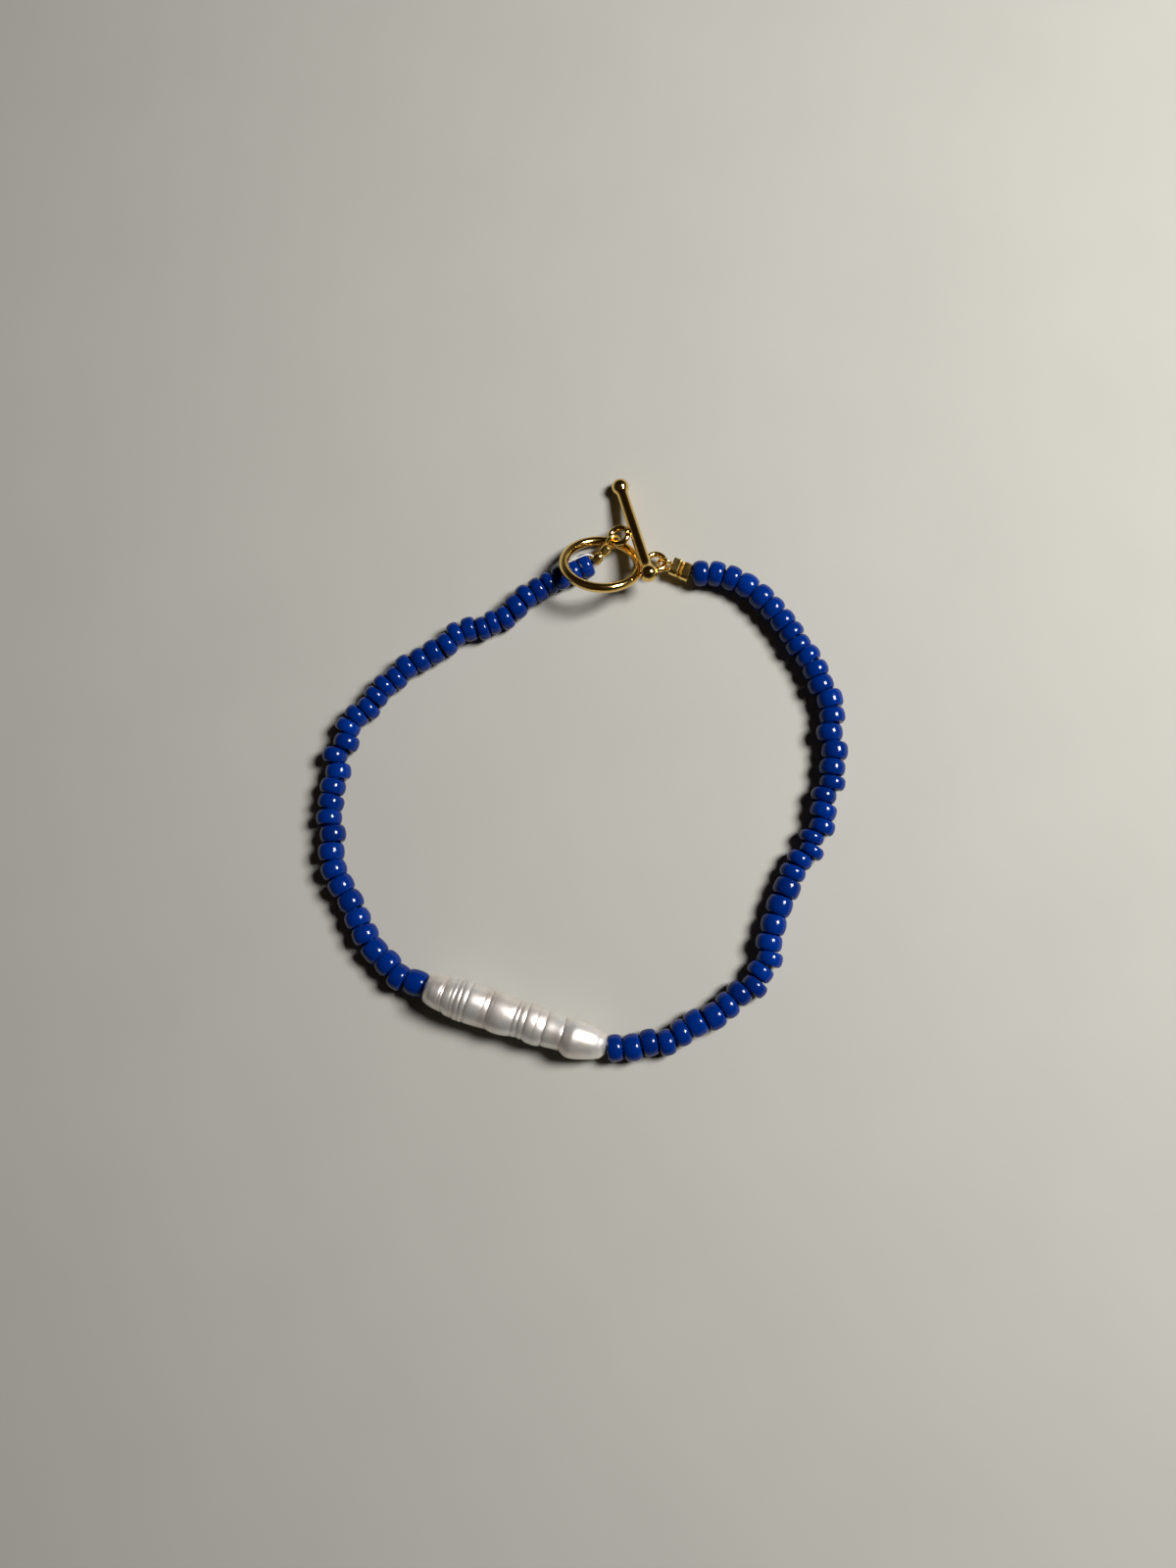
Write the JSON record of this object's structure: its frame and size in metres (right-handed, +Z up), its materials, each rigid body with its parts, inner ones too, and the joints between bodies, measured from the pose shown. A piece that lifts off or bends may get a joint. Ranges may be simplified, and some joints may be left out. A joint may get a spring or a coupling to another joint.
{
  "type": "toggle bracelet of glass seed beads and one pearl",
  "caption": "Closed toggle bracelet: strings of blue glass seed beads, a long ringed pearl, and a gold-coloured ring and bar clasp.",
  "frame": {"origin": "under the middle of the bracelet's bounding box, on the surface it lies on", "axes": "+Z up from the surface, +Y from the pearl towards the clasp, +X to the right seen from above"},
  "size_m": [0.062, 0.0688, 0.0059],
  "materials": {
    "blue_glass": "opaque cobalt-blue glass, fire-polished gloss",
    "pearl": "silver-white nacre, soft lustre",
    "gold_plate": "polished gold plate on brass",
    "crimp_gold": "pressed gold-plated brass, slightly dulled"
  },
  "bodies": {
    "root": {"seed_beads_right": "blue_glass", "seed_beads_left": "blue_glass", "pearl": "pearl", "toggle_ring": "gold_plate", "toggle_bar": "gold_plate", "crimp_right": "crimp_gold", "crimp_left": "crimp_gold"}
  },
  "joints": []
}
